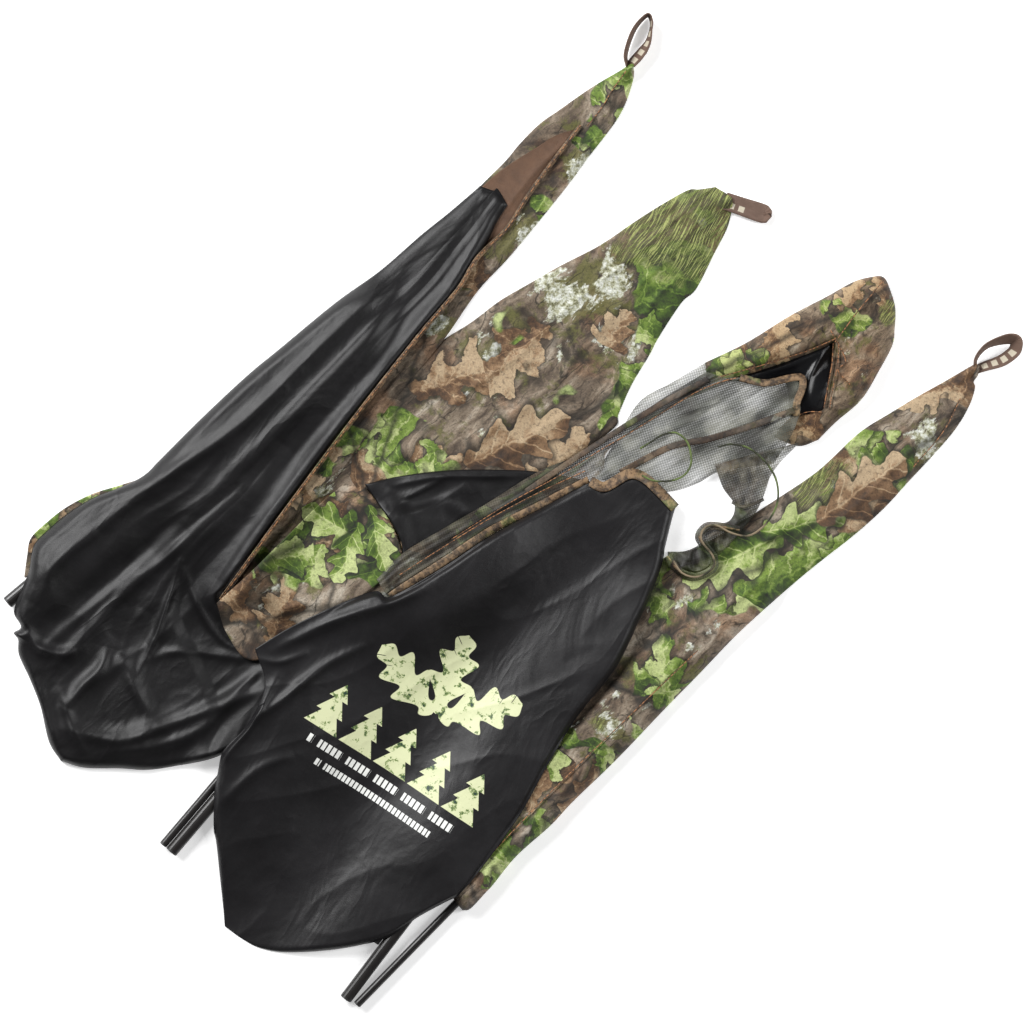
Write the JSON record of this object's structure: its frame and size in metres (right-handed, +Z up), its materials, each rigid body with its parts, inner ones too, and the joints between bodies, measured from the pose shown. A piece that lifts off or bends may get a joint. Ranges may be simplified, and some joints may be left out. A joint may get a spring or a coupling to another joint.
{
  "type": "layout field blind",
  "caption": "Folded layout field blind: sleeved camouflage cloth arms fanned from a gathered bundle, with sectional poles, mesh window and webbing loops.",
  "frame": {"origin": "on the ground, under the middle of the folded blind's box", "axes": "+Z up; the arms' tips point to +X +Y and the poles' feet to -X -Y"},
  "size_m": [1.3735, 1.3472, 0.052],
  "materials": {
    "camo_cloth": null,
    "black_lining": "coated taffeta, soft satin sheen",
    "mesh_net": "open net",
    "brown_cloth": "plain woven nylon",
    "webbing": "woven webbing",
    "pole_coat": "gloss black coating",
    "black_plastic": "satin",
    "elastic_cord": "braided sheath",
    "drawcord": "round braided cord"
  },
  "bodies": {
    "bundle": {"gathered_lining": "black_lining", "upper_lining": "black_lining", "camo_patch": "camo_cloth", "lower_panel": "black_lining", "lower_panel_hem": "camo_cloth", "hood": "camo_cloth", "hood_lining": "black_lining", "mesh_panel": "mesh_net", "window_binding": "camo_cloth", "mesh_strip": "mesh_net", "mesh_strip_hem": "camo_cloth", "mesh_skirt": "mesh_net", "drawcord_short": "drawcord", "drawcord_long": "drawcord", "pole_3_sleeve": "black_lining"},
    "arm_1": {"arm_1_shell": "camo_cloth", "arm_1_corner": "camo_cloth", "arm_1_slit_binding": "camo_cloth", "arm_1_inner_panel": "brown_cloth", "pole_1_sleeve": "black_lining"},
    "arm_2": {"arm_2_shell": "camo_cloth", "pole_2_sleeve": "black_lining"},
    "arm_4": {"arm_4_shell": "camo_cloth", "pole_4_sleeve": "black_lining"},
    "pole_1": {"pole_1_thick_section": "pole_coat", "pole_1_thin_section": "pole_coat", "pole_1_end_cap": "black_plastic", "pole_1_ferrule": "black_plastic", "pole_1_thin_cap": "black_plastic", "pole_1_shock_cord": "elastic_cord"},
    "pole_2": {"pole_2_thick_section": "pole_coat", "pole_2_thin_section": "pole_coat", "pole_2_end_cap": "black_plastic", "pole_2_ferrule": "black_plastic", "pole_2_thin_cap": "black_plastic", "pole_2_shock_cord": "elastic_cord"},
    "pole_3": {"pole_3_thick_section": "pole_coat", "pole_3_thin_section": "pole_coat", "pole_3_end_cap": "black_plastic", "pole_3_ferrule": "black_plastic", "pole_3_thin_cap": "black_plastic", "pole_3_shock_cord": "elastic_cord"},
    "pole_4": {"pole_4_thick_section": "pole_coat", "pole_4_thin_section": "pole_coat", "pole_4_end_cap": "black_plastic", "pole_4_ferrule": "black_plastic", "pole_4_thin_cap": "black_plastic", "pole_4_shock_cord": "elastic_cord"},
    "loop_1": {"loop_1": "webbing"},
    "loop_2": {"loop_2": "webbing"},
    "loop_4": {"loop_4": "webbing"}
  },
  "joints": [
    {"name": "arm_1_swing", "type": "hinge", "parent": "bundle", "child": "arm_1", "pos_m": [-0.679, -0.124, 0.01], "axis": [0, 0, 1], "range_deg": [0, 8]},
    {"name": "arm_2_swing", "type": "hinge", "parent": "bundle", "child": "arm_2", "pos_m": [-0.458, -0.461, 0.01], "axis": [0, 0, 1], "range_deg": [-2.5, 0]},
    {"name": "arm_4_swing", "type": "hinge", "parent": "bundle", "child": "arm_4", "pos_m": [-0.2205, -0.6823, 0.01], "axis": [0, 0, 1], "range_deg": [-5, 0]},
    {"name": "pole_1_slide", "type": "slide", "parent": "arm_1", "child": "pole_1", "axis": [-0.766, -0.6428, 0], "range_m": [0, 0.38]},
    {"name": "pole_2_slide", "type": "slide", "parent": "arm_2", "child": "pole_2", "axis": [-0.6481, -0.7615, 0], "range_m": [0, 0.38]},
    {"name": "pole_3_slide", "type": "slide", "parent": "bundle", "child": "pole_3", "axis": [-0.6046, -0.7965, 0], "range_m": [0, 0.38]},
    {"name": "pole_4_slide", "type": "slide", "parent": "arm_4", "child": "pole_4", "axis": [0.6997, 0.7145, 0], "range_m": [-0.09, 0]},
    {"name": "loop_1_flip", "type": "hinge", "parent": "arm_1", "child": "loop_1", "pos_m": [0.163, 0.597, 0.022], "axis": [0.9272, -0.3746, 0], "range_deg": [0, 110]},
    {"name": "loop_2_flip", "type": "hinge", "parent": "arm_2", "child": "loop_2", "pos_m": [0.297, 0.418, 0.0135], "axis": [-0.342, -0.9397, 0], "range_deg": [0, 110]},
    {"name": "loop_4_flip", "type": "hinge", "parent": "arm_4", "child": "loop_4", "pos_m": [0.631, 0.191, 0.022], "axis": [0.4067, -0.9135, 0], "range_deg": [0, 110]}
  ]
}
